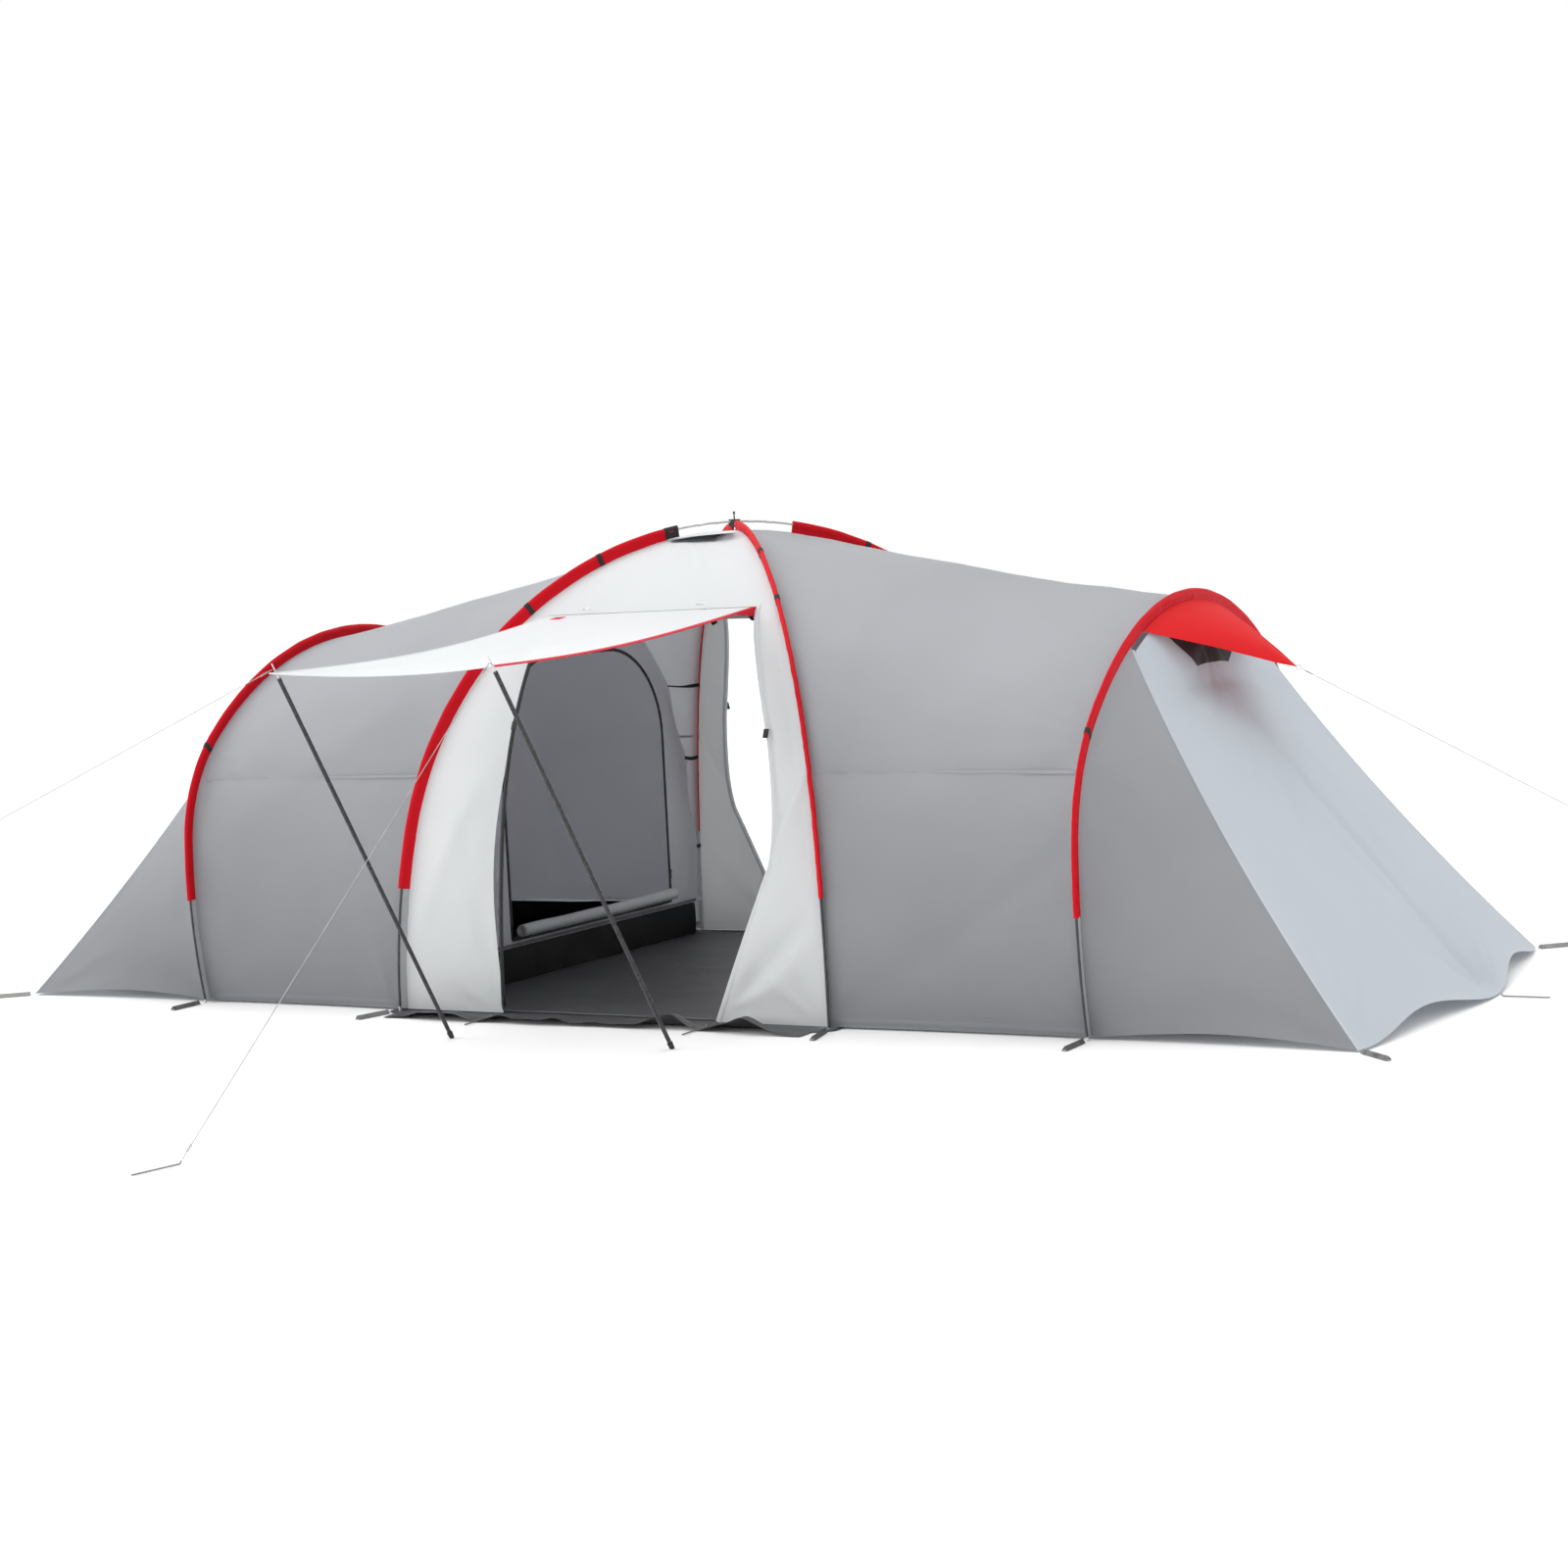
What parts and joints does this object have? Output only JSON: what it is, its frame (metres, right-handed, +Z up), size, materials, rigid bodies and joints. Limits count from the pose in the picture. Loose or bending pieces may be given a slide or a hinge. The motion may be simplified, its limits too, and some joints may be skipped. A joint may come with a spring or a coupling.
{
  "type": "tunnel tent",
  "caption": "Tunnel tent with bedrooms at both ends, domed middle room on crossing poles, arch-pole ends with peaked hoods, and a door panel propped out as an awning.",
  "frame": {"origin": "on the ground under the crossing of the two dome poles, at the middle of the living room floor's underside", "axes": "+X along the tent from the left bedroom to the right one, -Y out of the front door under the awning, +Z up"},
  "size_m": [8.322, 5.438, 1.9765],
  "materials": {
    "pole_fibreglass": "smooth grey fibreglass",
    "pole_steel": "brushed",
    "plastic_black": "moulded",
    "sleeve_red": "plain weave polyester, stitched",
    "hood_coral": "plain weave polyester",
    "webbing_black": "woven webbing",
    "roof_grey": "coated polyester taffeta",
    "wall_light": "coated polyester taffeta",
    "end_blue_grey": "coated polyester taffeta",
    "mesh_black": "fine mesh",
    "floor_black": "coated polyethylene groundsheet",
    "inner_grey": "breathable polyester",
    "prop_black": "semi-gloss lacquer",
    "rubber_black": "matte",
    "zip_dark": "coil zip",
    "cord_white": "braided",
    "peg_steel": "galvanised"
  },
  "bodies": {
    "tent": {"apex_hub": "plastic_black", "apex_vent_flaps": "webbing_black", "arch_pole_left": "pole_fibreglass", "arch_pole_right": "pole_fibreglass", "bedroom_canopy_left": "inner_grey", "bedroom_canopy_right": "inner_grey", "bedroom_front_left": "inner_grey", "bedroom_front_right": "inner_grey", "bedroom_ties": "webbing_black", "bedroom_tub_left": "floor_black", "bedroom_tub_right": "floor_black", "dome_pole_a": "pole_fibreglass", "dome_pole_b": "pole_fibreglass", "door_zip_chains": "zip_dark", "end_gores_left": "roof_grey", "end_gores_right": "roof_grey", "end_vent_mesh": "mesh_black", "end_wall_left": "end_blue_grey", "end_wall_right": "end_blue_grey", "front_wall_head": "wall_light", "front_wall_left": "wall_light", "front_wall_right": "wall_light", "guy_end": "cord_white", "guy_left": "cord_white", "guy_middle": "cord_white", "guy_pegs": "peg_steel", "hood_left": "hood_coral", "hood_right": "hood_coral", "hood_ring": "pole_steel", "inner_door_left_roll": "inner_grey", "living_floor": "floor_black", "pole_fittings": "pole_steel", "rear_door_roll": "wall_light", "rear_wall_head": "wall_light", "rear_wall_left": "wall_light", "rear_wall_right": "wall_light", "sleeve_arch_left": "sleeve_red", "sleeve_arch_right": "sleeve_red", "sleeve_bands": "webbing_black", "sleeve_front_left": "sleeve_red", "sleeve_front_right": "sleeve_red", "sleeve_rear_left": "sleeve_red", "sleeve_rear_right": "sleeve_red", "v_stakes": "peg_steel", "wing_left": "roof_grey", "wing_right": "roof_grey", "wire_pegs": "peg_steel"},
    "awning": {"awning_panel": "wall_light", "awning_eyelets": "pole_steel"},
    "prop_left": {"awning_prop_left": "prop_black", "prop_foot_left": "rubber_black", "prop_spike_left": "pole_steel"},
    "prop_right": {"awning_prop_right": "prop_black", "prop_foot_right": "rubber_black", "prop_spike_right": "pole_steel"},
    "inner_door": {"inner_door_right": "inner_grey"},
    "front_slider": {"zip_slider_front": "plastic_black"},
    "rear_slider": {"zip_slider_rear": "plastic_black"},
    "inner_slider_left": {"zip_slider_inner_left": "plastic_black"},
    "inner_slider_right": {"zip_slider_inner_right": "plastic_black"}
  },
  "joints": [
    {"name": "awning_swing", "type": "hinge", "parent": "tent", "child": "awning", "pos_m": [0, -0.712, 1.574], "axis": [1, 0, 0], "range_deg": [0, 57], "deforming": ["guy_left", "guy_middle"]},
    {"name": "prop_left_tilt", "type": "hinge", "parent": "tent", "child": "prop_left", "pos_m": [-0.378, -1.7, 0.009], "axis": [1, 0, 0], "range_deg": [0, 58]},
    {"name": "prop_right_tilt", "type": "hinge", "parent": "tent", "child": "prop_right", "pos_m": [0.61, -1.7, 0.009], "axis": [1, 0, 0], "range_deg": [0, 58]},
    {"name": "inner_door_drop", "type": "hinge", "parent": "tent", "child": "inner_door", "pos_m": [0.9515, 0.2, 0.1975], "axis": [0, 1, 0], "range_deg": [0, 88]},
    {"name": "front_zip_travel", "type": "hinge", "parent": "tent", "child": "front_slider", "pos_m": [-0.495, 3.1509, 0], "axis": [-1, 0, 0], "range_deg": [0, 8]},
    {"name": "rear_zip_travel", "type": "hinge", "parent": "tent", "child": "rear_slider", "pos_m": [0.495, -3.1509, 0], "axis": [1, 0, 0], "range_deg": [0, 8]},
    {"name": "inner_zip_left_travel", "type": "slide", "parent": "tent", "child": "inner_slider_left", "axis": [0, 0, 1], "range_m": [0, 0.55]},
    {"name": "inner_zip_right_travel", "type": "slide", "parent": "tent", "child": "inner_slider_right", "axis": [0, 0, 1], "range_m": [0, 0.55]}
  ],
  "couplings": [
    {"joint": "prop_left_tilt", "follows": "awning_swing", "ratio": 1.0175},
    {"joint": "prop_right_tilt", "follows": "awning_swing", "ratio": 1.0175}
  ]
}
